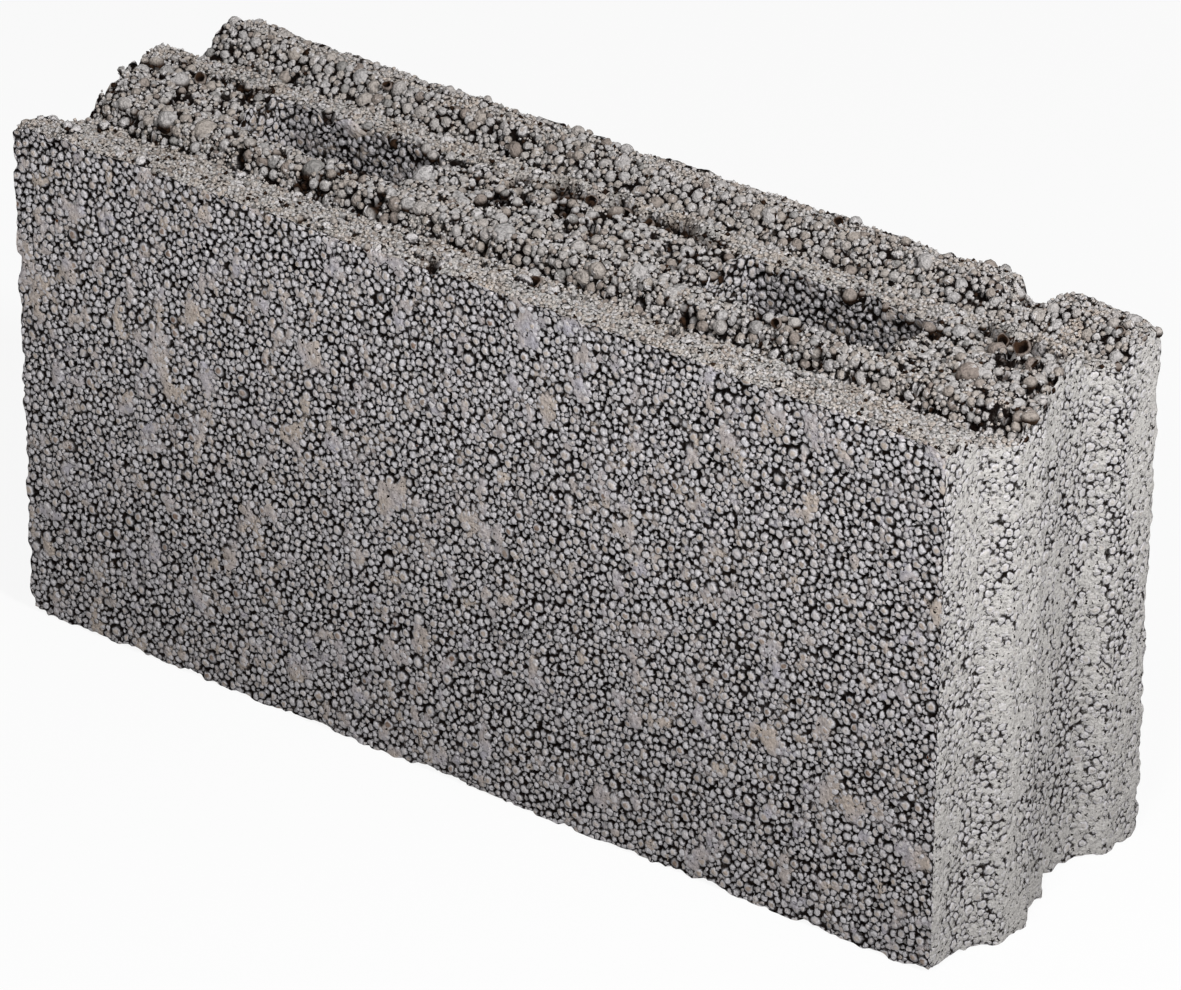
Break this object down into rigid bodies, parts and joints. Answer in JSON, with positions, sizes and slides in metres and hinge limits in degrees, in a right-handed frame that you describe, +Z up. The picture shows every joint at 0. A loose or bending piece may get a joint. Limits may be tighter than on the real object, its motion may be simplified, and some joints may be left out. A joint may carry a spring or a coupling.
{
  "type": "lightweight concrete building block",
  "caption": "Lightweight aggregate concrete wall block with tongue-and-groove ends, mortar channels along the top and deep pockets open to the top.",
  "frame": {"origin": "middle of the bed that the block stands on", "axes": "+X along the block's length, +Y across its width from the front face to the rear face, +Z up"},
  "size_m": [0.516, 0.15, 0.24],
  "materials": {
    "concrete": "rough open-textured lightweight concrete of rounded clay pellets in grey cement paste"
  },
  "bodies": {
    "root": {"block": "concrete"}
  },
  "joints": []
}
